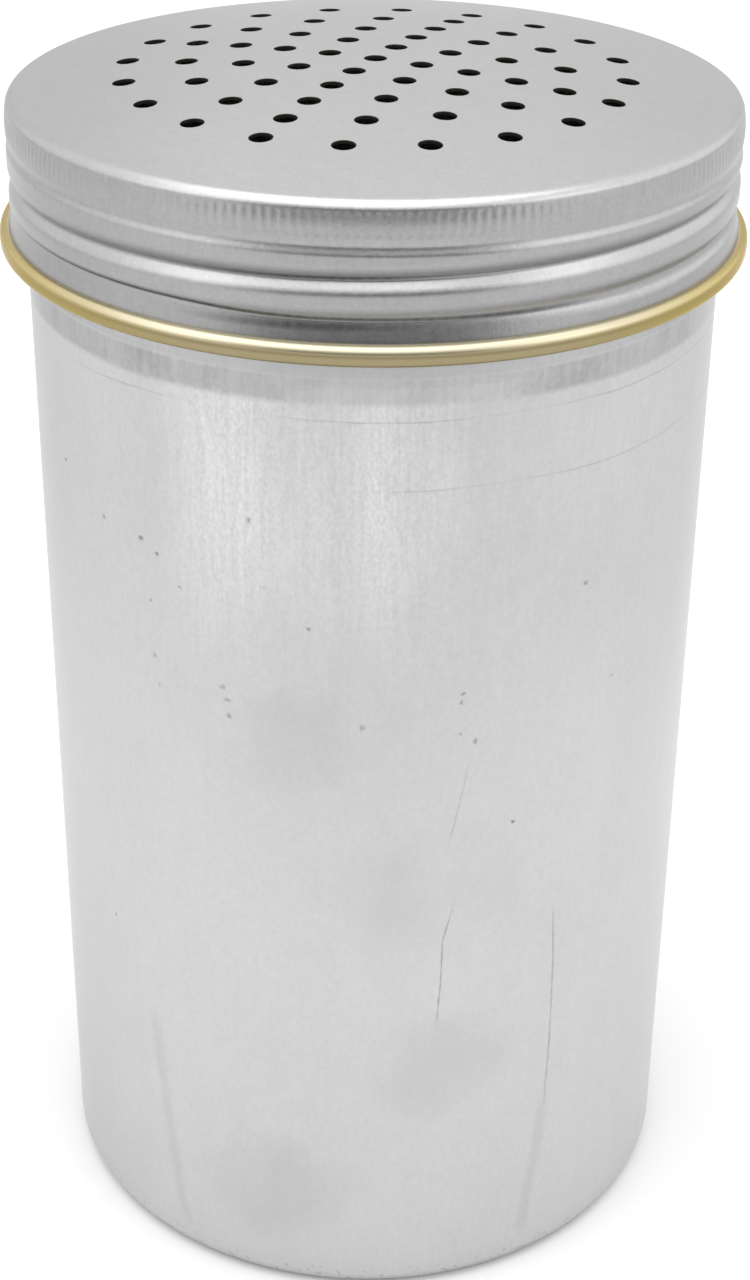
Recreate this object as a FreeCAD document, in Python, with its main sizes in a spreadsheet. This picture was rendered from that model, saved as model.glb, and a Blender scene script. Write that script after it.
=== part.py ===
import FreeCAD, Part
import math
import os
import Sketcher

# A screw-top shaker for dry spices: a drawn aluminium can with a rolled neck thread, and a pressed
# aluminium lid with a perforated dome, a rolled thread and a curled hem.
# Millimetres, +Z up, origin at the centre of the base. The thread is right-handed.

doc = FreeCAD.newDocument("spice_shaker")
sheet = doc.addObject("Spreadsheet::Sheet", "Sizes")


class Size:
    """A length, angle or count: its number now, and the expression that keeps it in step."""

    def __init__(self, value, text):
        self.value = float(value)
        self.text = text

    def __add__(self, other):
        return Size(self.value + number(other), "(%s + %s)" % (self.text, words(other)))

    def __sub__(self, other):
        return Size(self.value - number(other), "(%s - %s)" % (self.text, words(other)))

    def __mul__(self, other):
        return Size(self.value * number(other), "(%s * %s)" % (self.text, words(other)))

    def __truediv__(self, other):
        return Size(self.value / number(other), "(%s / %s)" % (self.text, words(other)))

    __radd__ = __add__
    __rmul__ = __mul__


def number(thing):
    return thing.value if isinstance(thing, Size) else float(thing)


def words(thing):
    return thing.text if isinstance(thing, Size) else repr(float(thing))


def cell(alias, value, meaning):
    """Writes one driving dimension on the sheet and returns it as a Size."""
    row = cell.row = cell.row + 1
    sheet.set("A%d" % row, meaning)
    sheet.set("B%d" % row, str(value))
    sheet.setAlias("B%d" % row, alias)
    return Size(value, "Sizes." + alias)


cell.row = 0
zero = Size(0, "0")
near = 1e-4  # how close an edge must lie to the ring that it is taken for

# The can
can_radius = cell("can_radius", 40.0, "outer radius of the can's wall")
can_wall = cell("can_wall", 0.8, "thickness of the can's wall and neck")
base_wall = cell("base_wall", 1.0, "thickness of the can's base")
base_corner = cell("base_corner", 2.5, "outer radius of the base's corner")
stand_width = cell("stand_width", 5.0, "width of the flat ring that the can stands on")
panel_rise = cell("panel_rise", 0.8, "how far the base's middle is pushed in")
panel_slope = cell("panel_slope", 2.0, "width of the slope up to the pushed-in middle")
mouth_height = cell("mouth_height", 141.5, "height of the can's mouth")
neck_height = cell("neck_height", 14.2, "how far the shoulder lies below the mouth")
neck_step = cell("neck_step", 0.2, "how far the neck steps in from the wall")
shoulder_rise = cell("shoulder_rise", 0.8, "height of the step in to the neck")
rim_width = cell("rim_width", 1.8, "width of the rim, curled inwards round the mouth")
rim_depth = cell("rim_depth", 1.8, "depth of the rim")
rim_round = cell("rim_round", 0.5, "rounding of the rim's corners")

# The thread that the can and the lid share
thread_pitch = cell("thread_pitch", 4.23, "rise of the thread in one turn, six turns to the inch")
thread_tall = cell("thread_tall", 0.9, "how far the can's thread stands out from the neck")
thread_crest = cell("thread_crest", 0.9, "width of the crest of the can's thread")
thread_turns = cell("thread_turns", 1.5, "turns of the can's thread")
thread_flank = cell("thread_flank", 0.75, "height of one flank of the lid's groove")
thread_side_gap = cell("thread_side_gap", 0.35, "height left between the two threads' flanks")
thread_grip = cell("thread_grip", 0.25, "how far the two threads reach behind each other")
thread_skirt_gap = cell("thread_skirt_gap", 0.15, "room between the can's thread and the skirt")

# The sealing ring between the can's mouth and the lid
seal_thick = cell("seal_thick", 1.4, "thickness of the sealing ring")
seal_width = cell("seal_width", 4.4, "width of the sealing ring")
seal_gap = cell("seal_gap", 0.2, "gap between the sealing ring and the lid's side")
seal_head_gap = cell("seal_head_gap", 0.5, "height from the sealing ring to the dome's rim")

# The lid
lid_sheet = cell("lid_sheet", 0.4, "thickness of the lid's sheet")
dome_drop = cell("dome_drop", 3.2, "how far the dome falls from its middle to its rim")
dome_corner = cell("dome_corner", 1.3, "outer radius of the corner from the dome to the side")
band_height = cell("band_height", 4.67, "from the dome's rim down to the ring groove's middle")
ring_depth = cell("ring_depth", 0.3, "depth of the ring groove under the knurled band")
ring_bottom = cell("ring_bottom", 0.5, "width of the ring groove's bottom")
ring_mouth = cell("ring_mouth", 1.55, "width of the ring groove at the side's face")
groove_bottom = cell("groove_bottom", 0.7, "width of the thread groove's bottom")
groove_foot = cell("groove_foot", 2.2, "height from the hem's middle to the thread groove's start")
groove_angle = cell("groove_angle", 160.0, "azimuth where both threads start, in degrees")
groove_turns = cell("groove_turns", 1.75, "turns of the lid's thread groove")
side_height = cell("side_height", 15.8, "from the dome's rim down to the hem's middle")
skirt_height = cell("skirt_height", 3.8, "height of the plain skirt above the hem's middle")
skirt_step = cell("skirt_step", 0.45, "how far the plain skirt steps in")
skirt_slope = cell("skirt_slope", 0.45, "height of that step")
skirt_flare = cell("skirt_flare", 0.3, "how far the plain skirt spreads towards the hem")

# The holes in the dome
hole_radius = cell("hole_radius", 1.25, "radius of each hole")
hole_step = cell("hole_step", 5.67, "distance from one ring of holes to the next")
hole_phase = cell("hole_phase", 65.6, "azimuth of the first straight row of holes, in degrees")

# The hem, the lid's lower edge curled outwards
hem_width = cell("hem_width", 1.85, "width of the curl, from inside to outside")
hem_tall = cell("hem_tall", 2.7, "height of the curl")
hem_gap = cell("hem_gap", 0.15, "gap between the curl's edge and the skirt")

cut_over = cell("cut_over", 1.0, "how far a cut runs past what it cuts")

# Radii, each worked out from the can's outwards
can_inside = can_radius - can_wall
neck_radius = can_radius - neck_step
neck_inside = neck_radius - can_wall
tooth_radius = neck_radius + thread_tall
skirt_radius = tooth_radius + thread_skirt_gap + lid_sheet
lid_radius = skirt_radius + skirt_step
crest_inside = lid_radius - lid_sheet
ridge_tip = tooth_radius - thread_grip
groove_root = ridge_tip + lid_sheet
hem_inside = skirt_radius + skirt_flare - lid_sheet
hem_centre = hem_inside + hem_width / 2
hem_outside = hem_inside + hem_width
seal_outside = crest_inside - seal_gap

# Heights, each worked out from the mouth's
shoulder_level = mouth_height - neck_height
dome_rim = mouth_height + seal_thick + seal_head_gap + lid_sheet
lid_top = dome_rim + dome_drop
ring_level = dome_rim - band_height
hem_level = dome_rim - side_height
groove_level = hem_level + groove_foot
skirt_level = hem_level + skirt_height

# The flanks of both threads lean alike
flank_lean = thread_flank / (lid_radius - groove_root)
slant = Size(math.hypot(1, flank_lean.value), "sqrt(1 + %s ^ 2)" % flank_lean.text)
ridge_half = groove_bottom / 2 + lid_sheet * slant - lid_sheet * flank_lean
tooth_half = thread_crest / 2 + (tooth_radius - ridge_tip) * flank_lean
tooth_foot_half = thread_crest / 2 + thread_tall * flank_lean
tooth_level = groove_level + ridge_half + thread_side_gap + tooth_half


def body(name):
    """One sub-part, built as a body; its label names the node and the file."""
    new = doc.addObject("PartDesign::Body", name)
    new.Label = name
    new.Placement = FreeCAD.Placement()
    return new


def origin_plane(owner, role):
    return next(item for item in owner.Origin.OriginFeatures if item.Role == role)


def sketch_on(owner, name, role, turn=None, lift=None):
    """A sketch on one of the body's planes, turned about Z or lifted along Z where asked."""
    sketch = owner.newObject("Sketcher::SketchObject", name)
    sketch.AttachmentSupport = [(origin_plane(owner, role), "")]
    sketch.MapMode = "FlatFace"
    if turn is not None:
        # On the XZ plane the sketch's own Y axis is the world's Z
        upright = FreeCAD.Vector(0, 1, 0)
        sketch.AttachmentOffset = FreeCAD.Placement(
            FreeCAD.Vector(), FreeCAD.Rotation(upright, turn.value))
        sketch.setExpression("AttachmentOffset.Rotation.Angle", turn.text)
    if lift is not None:
        sketch.setExpression("AttachmentOffset.Base.z", lift.text)
    return sketch


def drive(sketch, kind, geometry, point, size, name):
    """Holds a point at a size from the sketch's X or Y axis, bound to the sheet."""
    if size is zero:
        axis = -2 if kind == "DistanceX" else -1
        sketch.addConstraint(Sketcher.Constraint("PointOnObject", geometry, point, axis))
        return
    index = sketch.addConstraint(Sketcher.Constraint(kind, -1, 1, geometry, point, size.value))
    sketch.renameConstraint(index, name)
    sketch.setExpression("Constraints." + name, size.text)


def outline(sketch, corners):
    """A closed outline of straight lines through corners, each a pair of Sizes."""
    places = [FreeCAD.Vector(x.value, y.value) for x, y in corners]
    count = len(corners)
    for i in range(count):
        sketch.addGeometry(Part.LineSegment(places[i], places[(i + 1) % count]), False)
    for i in range(count):
        sketch.addConstraint(Sketcher.Constraint("Coincident", i, 2, (i + 1) % count, 1))
    for i, (x, y) in enumerate(corners):
        drive(sketch, "DistanceX", i, 1, x, "across_%d" % i)
        drive(sketch, "DistanceY", i, 1, y, "up_%d" % i)
    return sketch


def domed_outline(sketch, corners):
    """As outline, with an arc about a centre on the Z axis for its first side."""
    outline(sketch, corners)
    middle, rim = corners[0], corners[1]
    reach = rim[0].value
    drop = middle[1].value - rim[1].value
    ball = (reach ** 2 + drop ** 2) / (2 * drop)
    centre = FreeCAD.Vector(0, middle[1].value - ball)
    circle = Part.Circle(centre, FreeCAD.Vector(0, 0, 1), ball)
    ends = [circle.parameter(FreeCAD.Vector(x.value, y.value)) for x, y in (rim, middle)]
    arc = sketch.addGeometry(Part.ArcOfCircle(circle, ends[0], ends[1]), False)
    sketch.toggleConstruction(0)
    sketch.addConstraint(Sketcher.Constraint("PointOnObject", arc, 3, -2))
    sketch.addConstraint(Sketcher.Constraint("Coincident", arc, 1, 1, 1))
    sketch.addConstraint(Sketcher.Constraint("Coincident", arc, 2, 0, 1))
    return sketch


def spin(owner, name, sketch):
    """A full turn of a sketch about the Z axis."""
    turned = owner.newObject("PartDesign::Revolution", name)
    turned.Profile = sketch
    turned.ReferenceAxis = (sketch, ["V_Axis"])
    turned.Angle = 360
    return turned


def screw(owner, name, sketch, kind, turns):
    """A sketch carried along the thread's helix about the Z axis, right-handed, upwards."""
    wound = owner.newObject(kind, name)
    wound.Profile = sketch
    wound.ReferenceAxis = (sketch, ["V_Axis"])
    wound.Mode = "pitch-turns-angle"
    wound.setExpression("Pitch", thread_pitch.text)
    wound.setExpression("Turns", turns.text)
    wound.Angle = 0
    wound.LeftHanded = False
    wound.Reversed = False
    return wound


def round_edges(owner, name, base, rings, radius):
    """Rounds the ring edges that lie at the given radii and heights."""
    doc.recompute()
    found = []
    for i, edge in enumerate(base.Shape.Edges):
        if edge.Degenerated or not isinstance(edge.Curve, Part.Circle):
            continue
        for across, up in rings:
            same_radius = abs(edge.Curve.Radius - across.value) < near
            if same_radius and abs(edge.Curve.Center.z - up.value) < near:
                found.append("Edge%d" % (i + 1))
    fillet = owner.newObject("PartDesign::Fillet", name)
    fillet.Base = (base, found)
    fillet.setExpression("Radius", radius.text)
    doc.recompute()
    return fillet


def make_can():
    """The can: base, wall, neck and curled rim in one piece, then the rolled thread."""
    can = body("can_body")
    stand_inside = can_radius - base_corner - stand_width
    panel_radius = stand_inside - panel_slope
    neck_foot = shoulder_level + shoulder_rise
    rim_foot = mouth_height - rim_depth
    rim_inside = neck_radius - rim_width
    section = outline(sketch_on(can, "can_section", "XZ_Plane"), [
        (zero, panel_rise),
        (panel_radius, panel_rise),
        (stand_inside, zero),
        (can_radius, zero),
        (can_radius, shoulder_level),
        (neck_radius, neck_foot),
        (neck_radius, mouth_height),
        (rim_inside, mouth_height),
        (rim_inside, rim_foot),
        (neck_inside, rim_foot),
        (neck_inside, neck_foot),
        (can_inside, shoulder_level),
        (can_inside, base_wall),
        (stand_inside, base_wall),
        (panel_radius, panel_rise + base_wall),
        (zero, panel_rise + base_wall),
    ])
    wall = spin(can, "can_wall_turned", section)
    corner = round_edges(can, "base_corner_outside", wall, [(can_radius, zero)], base_corner)
    corner = round_edges(
        can, "base_corner_inside", corner, [(can_inside, base_wall)], base_corner - can_wall)
    round_edges(can, "rim_rounding", corner, [
        (neck_radius, mouth_height), (rim_inside, mouth_height), (rim_inside, rim_foot)], rim_round)
    embedded = neck_radius - can_wall / 2
    tooth = outline(sketch_on(can, "thread_tooth", "XZ_Plane", turn=groove_angle), [
        (embedded, tooth_level - tooth_foot_half),
        (neck_radius, tooth_level - tooth_foot_half),
        (tooth_radius, tooth_level - thread_crest / 2),
        (tooth_radius, tooth_level + thread_crest / 2),
        (neck_radius, tooth_level + tooth_foot_half),
        (embedded, tooth_level + tooth_foot_half),
    ])
    screw(can, "neck_thread", tooth, "PartDesign::AdditiveHelix", thread_turns)
    return can


def make_lid():
    """The lid: a solid of its outer form with the groove cut in, less the hollow with its ridge."""
    solid = body("lid_outside")
    flared = hem_inside + lid_sheet
    form = domed_outline(sketch_on(solid, "lid_section", "XZ_Plane"), [
        (zero, lid_top),
        (lid_radius, dome_rim),
        (lid_radius, ring_level + ring_mouth / 2),
        (lid_radius - ring_depth, ring_level + ring_bottom / 2),
        (lid_radius - ring_depth, ring_level - ring_bottom / 2),
        (lid_radius, ring_level - ring_mouth / 2),
        (lid_radius, skirt_level),
        (skirt_radius, skirt_level - skirt_slope),
        (flared, hem_level),
        (zero, hem_level),
    ])
    block = spin(solid, "lid_turned", form)
    round_edges(solid, "lid_corner", block, [(lid_radius, dome_rim)], dome_corner)
    half = groove_bottom / 2
    rise = (lid_radius + cut_over - groove_root) * flank_lean
    notch = outline(sketch_on(solid, "groove_section", "XZ_Plane", turn=groove_angle), [
        (groove_root, groove_level - half),
        (lid_radius + cut_over, groove_level - half - rise),
        (lid_radius + cut_over, groove_level + half + rise),
        (groove_root, groove_level + half),
    ])
    screw(solid, "lid_groove", notch, "PartDesign::SubtractiveHelix", groove_turns)
    pierce(solid)

    hollow = body("lid_inside")
    wider = lid_sheet / 2
    room = domed_outline(sketch_on(hollow, "hollow_section", "XZ_Plane"), [
        (zero, lid_top - lid_sheet),
        (crest_inside, dome_rim - lid_sheet),
        (crest_inside, ring_level + ring_mouth / 2 + wider),
        (crest_inside - ring_depth, ring_level + ring_bottom / 2 + wider),
        (crest_inside - ring_depth, ring_level - ring_bottom / 2 - wider),
        (crest_inside, ring_level - ring_mouth / 2 - wider),
        (crest_inside, skirt_level - wider),
        (skirt_radius - lid_sheet, skirt_level - skirt_slope - wider),
        (hem_inside, hem_level),
        (hem_inside, hem_level - cut_over),
        (zero, hem_level - cut_over),
    ])
    block = spin(hollow, "hollow_turned", room)
    inner_corner = dome_corner - lid_sheet
    round_edges(
        hollow, "hollow_corner", block, [(crest_inside, dome_rim - lid_sheet)], inner_corner)
    inner_rise = (lid_radius + cut_over - ridge_tip) * flank_lean
    ridge = outline(sketch_on(hollow, "ridge_section", "XZ_Plane", turn=groove_angle), [
        (ridge_tip, groove_level - ridge_half),
        (lid_radius + cut_over, groove_level - ridge_half - inner_rise),
        (lid_radius + cut_over, groove_level + ridge_half + inner_rise),
        (ridge_tip, groove_level + ridge_half),
    ])
    screw(hollow, "lid_ridge", ridge, "PartDesign::SubtractiveHelix", groove_turns)
    doc.recompute()
    shell = doc.addObject("Part::Cut", "lid_shell")
    shell.Label = "lid_shell"
    shell.Base = solid
    shell.Tool = hollow
    return shell


# The holes of one quarter: ring number, azimuth from the straight row in degrees, and its distance
# from the middle as a share of the ring's radius. The rings are a little square near the middle.
quarter_holes_shares = [
    (1, 0, 1.0),
    (2, 0, 1.0), (2, 45, 0.8),
    (3, 0, 1.0), (3, 29, 0.872), (3, 61, 0.872),
    (4, 0, 1.0), (4, 22, 0.941), (4, 45, 0.9225), (4, 68, 0.941),
    (5, 0, 1.0), (5, 18, 1.0), (5, 36, 1.0), (5, 54, 1.0), (5, 72, 1.0),
]


def hole_sketch(owner, name, places):
    """Circles of the holes' size at places, each a pair of Sizes, above the dome."""
    sketch = sketch_on(owner, name, "XY_Plane", lift=lid_top)
    for i, (x, y) in enumerate(places):
        centre = FreeCAD.Vector(x.value, y.value)
        sketch.addGeometry(Part.Circle(centre, FreeCAD.Vector(0, 0, 1), hole_radius.value), False)
        if x is zero:
            sketch.addConstraint(Sketcher.Constraint("Coincident", i, 3, -1, 1))
        else:
            drive(sketch, "DistanceX", i, 3, x, "across_%d" % i)
            drive(sketch, "DistanceY", i, 3, y, "up_%d" % i)
        index = sketch.addConstraint(Sketcher.Constraint("Radius", i, hole_radius.value))
        sketch.renameConstraint(index, "radius_%d" % i)
        sketch.setExpression("Constraints.radius_%d" % i, hole_radius.text)
    return sketch


def pierce(owner):
    """The holes: one in the middle, and a quarter of the rest repeated four times."""

    def place(ring, azimuth, share):
        turn = hole_phase + azimuth
        along = Size(math.cos(math.radians(turn.value)), "cos(%s)" % turn.text)
        aside = Size(math.sin(math.radians(turn.value)), "sin(%s)" % turn.text)
        distance = hole_step * (ring * share)
        return distance * along, distance * aside

    def punch(name, sketch):
        hole = owner.newObject("PartDesign::Pocket", name)
        hole.Profile = sketch
        hole.Type = 0
        hole.setExpression("Length", (dome_drop + cut_over).text)
        return hole

    punch("middle_hole", hole_sketch(owner, "middle_hole_circle", [(zero, zero)]))
    quarter = [place(*entry) for entry in quarter_holes_shares]
    first = punch("quarter_holes", hole_sketch(owner, "quarter_circles", quarter))
    doc.recompute()
    around = owner.newObject("PartDesign::PolarPattern", "all_holes")
    around.Originals = [first]
    around.Axis = (origin_plane(owner, "Z_Axis"), [""])
    around.Angle = 360
    around.Occurrences = 4
    owner.Tip = around


def make_hem():
    """The hem: the lid's edge rolled outwards and back up, an oval curl open beside the skirt."""
    hem = body("lid_hem")
    sketch = sketch_on(hem, "curl_section", "XZ_Plane")
    half = hem_width / 2
    thin = half - lid_sheet
    low = hem_level - hem_tall / 2 + half
    high = hem_level + hem_tall / 2 - half
    flared = hem_inside + lid_sheet
    rolled_inside = hem_outside - lid_sheet
    lip = flared + hem_gap

    def side(x0, y0, x1, y1):
        ends = [FreeCAD.Vector(x0.value, y0.value), FreeCAD.Vector(x1.value, y1.value)]
        return sketch.addGeometry(Part.LineSegment(ends[0], ends[1]), False)

    def bow(level, radius, start, end):
        centre = FreeCAD.Vector(hem_centre.value, level.value)
        circle = Part.Circle(centre, FreeCAD.Vector(0, 0, 1), radius.value)
        return sketch.addGeometry(Part.ArcOfCircle(circle, start, end), False)

    def lip_angle(radius):
        return math.acos((lip - hem_centre).value / radius.value)

    def start(piece):
        return piece, 1

    def end(piece):
        return piece, 2

    def centre(piece):
        return piece, 3

    # Round the outside of the curl from the skirt, and back along its inside
    inner = side(hem_inside, hem_level, hem_inside, low)
    bottom = bow(low, half, math.pi, 2 * math.pi)
    outer = side(hem_outside, low, hem_outside, high)
    top = bow(high, half, 0, lip_angle(half))
    edge = side(lip, high + half, lip, high + thin)
    top_inside = bow(high, thin, 0, lip_angle(thin))
    outer_inside = side(rolled_inside, high, rolled_inside, low)
    bottom_inside = bow(low, thin, math.pi, 2 * math.pi)
    inner_inside = side(flared, low, flared, hem_level)
    seam = side(flared, hem_level, hem_inside, hem_level)
    joints = [
        (end(inner), start(bottom)), (end(bottom), start(outer)), (end(outer), start(top)),
        (end(top), start(edge)), (end(edge), end(top_inside)),
        (start(top_inside), start(outer_inside)), (end(outer_inside), end(bottom_inside)),
        (start(bottom_inside), start(inner_inside)), (end(inner_inside), start(seam)),
        (end(seam), start(inner)), (centre(top_inside), centre(top)),
    ]
    for one, other in joints:
        sketch.addConstraint(Sketcher.Constraint("Coincident", *one, *other))
    places = [
        (start(inner), hem_inside, hem_level), (end(inner), hem_inside, low),
        (start(outer), hem_outside, low), (end(outer), hem_outside, high),
        (start(outer_inside), rolled_inside, high), (end(outer_inside), rolled_inside, low),
        (start(inner_inside), flared, low), (end(inner_inside), flared, hem_level),
        (centre(top), hem_centre, high),
    ]
    for i, (point, across, up) in enumerate(places):
        drive(sketch, "DistanceX", *point, across, "across_%d" % i)
        drive(sketch, "DistanceY", *point, up, "up_%d" % i)
    drive(sketch, "DistanceY", *centre(bottom), low, "bottom_centre")
    drive(sketch, "DistanceY", *centre(bottom_inside), low, "bottom_inside_centre")
    drive(sketch, "DistanceX", *end(top), lip, "lip_outside")
    drive(sketch, "DistanceX", *end(top_inside), lip, "lip_inside")
    spin(hem, "hem_turned", sketch)
    return hem


def make_seal():
    """The sealing ring: a flat ring that rests on the can's rim inside the lid."""
    seal = body("sealing_ring")
    section = outline(sketch_on(seal, "seal_section", "XZ_Plane"), [
        (seal_outside - seal_width, mouth_height),
        (seal_outside, mouth_height),
        (seal_outside, mouth_height + seal_thick),
        (seal_outside - seal_width, mouth_height + seal_thick),
    ])
    spin(seal, "seal_turned", section)
    return seal


sub_parts = [make_can(), make_lid(), make_hem(), make_seal()]
doc.recompute()

for item in doc.Objects:
    if "Invalid" in item.State or "Error" in item.State:
        raise RuntimeError("%s did not compute: %s" % (item.Name, item.State))
for part in sub_parts:
    if part.Shape.isNull() or not part.Shape.isValid() or len(part.Shape.Solids) != 1:
        raise RuntimeError("%s is not one valid solid" % part.Label)

os.makedirs("parts", exist_ok=True)
for part in sub_parts:
    part.Shape.exportStep("parts/%s.step" % part.Label)
    box = part.Shape.BoundBox
    print("%s: %.1f mm3, %.2f to %.2f mm high, %.2f mm across" % (
        part.Label, part.Shape.Volume, box.ZMin, box.ZMax, box.XLength))
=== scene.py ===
import math

import bpy
import numpy as np
from mathutils import Matrix, Vector
from mathutils.geometry import delaunay_2d_cdt


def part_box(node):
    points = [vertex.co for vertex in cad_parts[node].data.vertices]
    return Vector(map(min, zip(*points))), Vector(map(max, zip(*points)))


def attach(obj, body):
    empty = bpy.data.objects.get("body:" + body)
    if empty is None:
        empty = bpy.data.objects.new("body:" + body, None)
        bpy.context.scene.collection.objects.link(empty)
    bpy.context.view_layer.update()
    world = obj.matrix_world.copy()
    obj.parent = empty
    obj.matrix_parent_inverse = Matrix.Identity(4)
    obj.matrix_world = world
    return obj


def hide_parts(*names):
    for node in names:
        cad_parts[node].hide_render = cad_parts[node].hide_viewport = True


# Looks for a screw-top aluminium spice shaker: can, perforated lid, gold hem and sealing ring.
# Lengths are in millimetres until they go into a mesh, angles in degrees, azimuth 0 along +X.

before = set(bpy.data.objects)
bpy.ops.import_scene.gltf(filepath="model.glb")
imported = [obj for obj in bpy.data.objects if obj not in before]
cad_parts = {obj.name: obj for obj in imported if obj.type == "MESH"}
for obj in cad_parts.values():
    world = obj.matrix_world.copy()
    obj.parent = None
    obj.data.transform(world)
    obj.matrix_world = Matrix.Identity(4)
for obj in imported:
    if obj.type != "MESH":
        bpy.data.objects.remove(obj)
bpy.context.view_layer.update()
mm = 0.001
print("frame loaded:", sorted(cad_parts))


def boxOf(node):
    # a CAD node's lowest and highest corner in millimetres
    low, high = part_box(node)
    return np.array(low) / mm, np.array(high) / mm


canLow, canHigh = boxOf("can_body")
lidLow, lidHigh = boxOf("lid_shell")
hemLow, hemHigh = boxOf("lid_hem")
sealLow, sealHigh = boxOf("sealing_ring")
lidRadius = lidHigh[0]
lidTop = lidHigh[2]
hemLevel = lidLow[2]
mouthHeight = canHigh[2]

around = 256  # columns of points round every turned piece
threadPitch = 4.23  # the rise of the thread in one turn
threadStart = 160.0  # azimuth where both threads start


# Mesh helpers


def turn(radius, height, columns=around, phase=0.0):
    # rings of points: radius and height are numbers, columns of rows, or rows by columns
    azimuth = np.radians(phase) + np.arange(columns) * 2 * np.pi / columns
    radius, height = np.broadcast_arrays(radius, height, np.zeros(columns))[:2]
    return np.stack([radius * np.cos(azimuth), radius * np.sin(azimuth), height], -1)


def ringQuads(rows, columns, start=0):
    # quads between rows of a ring grid, facing outwards where the rows go upwards
    row = np.arange(rows - 1)[:, None] * columns + start
    here = np.arange(columns)
    beside = (here + 1) % columns
    quads = [row + here, row + beside, row + columns + beside, row + columns + here]
    return np.stack(quads, -1).reshape(-1, 4)


def smooth(value, low, high):
    # 0 below low, 1 above high, with a soft S between them
    share = np.clip((value - low) / (high - low), 0, 1)
    return share * share * (3 - 2 * share)


def softMax(one, other, width):
    # the larger of two values, with a rounded change from one to the other
    share = np.clip(0.5 + (one - other) / (2 * width), 0, 1)
    return one * share + other * (1 - share) + width * share * (1 - share)


class Patchwork:
    # collects grids of points and their faces, then welds what coincides into one closed mesh;
    # a mask says what a point's surface is: 0 bare, 1 lacquered, 2 punched edge in painted shade, -1
    # painted shade

    def __init__(self):
        self.points, self.faces, self.masks, self.count = [], [], [], 0

    def add(self, points, faces, mask=0.0):
        points = points.reshape(-1, 3)
        self.points.append(points)
        self.faces.append(faces + self.count)
        self.masks.append(np.broadcast_to(mask, len(points)))
        self.count += len(points)

    def grid(self, points, down=False, mask=0.0):
        # a ring grid whose rows go upwards on the outside, or downwards if down is set
        faces = ringQuads(points.shape[0], points.shape[1])
        self.add(points, faces[:, ::-1] if down else faces, mask)

    def build(self, name, sharpAngle=35.0, weldStep=1e-4):
        points = np.concatenate(self.points)
        keys = np.round(points / weldStep).astype(np.int64)
        _, first, same = np.unique(keys, axis=0, return_index=True, return_inverse=True)
        same = same.reshape(-1)
        loops, totals = [], []
        for faces in self.faces:
            faces = same[faces]
            repeated = (faces == np.roll(faces, 1, 1)).any(1)
            loops.append(faces[~repeated].ravel())
            totals.append(np.full((~repeated).sum(), faces.shape[1]))
            for face in faces[repeated]:
                kept = [v for v, last in zip(face, np.roll(face, 1)) if v != last]
                if len(kept) > 2:
                    loops.append(np.array(kept))
                    totals.append(np.array([len(kept)]))
        loops, totals = np.concatenate(loops), np.concatenate(totals)
        mesh = bpy.data.meshes.new(name)
        mesh.vertices.add(len(first))
        mesh.vertices.foreach_set("co", (points[first] * mm).astype(np.float32).ravel())
        mesh.loops.add(len(loops))
        mesh.loops.foreach_set("vertex_index", loops.astype(np.int32))
        mesh.polygons.add(len(totals))
        starts = np.concatenate([[0], np.cumsum(totals)[:-1]])
        mesh.polygons.foreach_set("loop_start", starts.astype(np.int32))
        mesh.update(calc_edges=True)
        mesh.polygons.foreach_set("use_smooth", np.ones(len(totals), bool))
        zone = mesh.attributes.new("zone", "FLOAT", "POINT")
        zone.data.foreach_set("value", np.concatenate(self.masks)[first].astype(np.float32))
        mesh.set_sharp_from_angle(angle=math.radians(sharpAngle))
        mesh.validate()
        piece = bpy.data.objects.new(name, mesh)
        bpy.context.scene.collection.objects.link(piece)
        triangles = int((totals - 2).sum())
        print("%s: %d points, %d triangles" % (name, len(first), triangles))
        return piece


def dress(piece, material, body, slot, *nodes):
    # gives a piece its material and its body, and hides the CAD nodes that it stands for
    piece.data.materials.append(material)
    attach(piece, body)
    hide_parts(*nodes)


# Shader helpers


class Wire:
    # a socket that can be written in sums; each operator adds its Math node

    def __init__(self, owner, socket):
        self.owner, self.socket = owner, socket

    def math(self, operation, *others):
        inputs = dict(enumerate((self,) + others))
        return self.owner.node("ShaderNodeMath", {"operation": operation}, inputs)

    def __add__(self, other):
        return self.math("ADD", other)

    def __sub__(self, other):
        return self.math("SUBTRACT", other)

    def __rsub__(self, other):
        return self.owner.node("ShaderNodeMath", {"operation": "SUBTRACT"}, {0: other, 1: self})

    def __mul__(self, other):
        return self.math("MULTIPLY", other)

    def __truediv__(self, other):
        return self.math("DIVIDE", other)

    def __rtruediv__(self, other):
        return self.owner.node("ShaderNodeMath", {"operation": "DIVIDE"}, {0: other, 1: self})

    def __abs__(self):
        return self.math("ABSOLUTE")

    __radd__ = __add__
    __rmul__ = __mul__

    def most(self, other):
        return self.math("MAXIMUM", other)

    def least(self, other):
        return self.math("MINIMUM", other)


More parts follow.
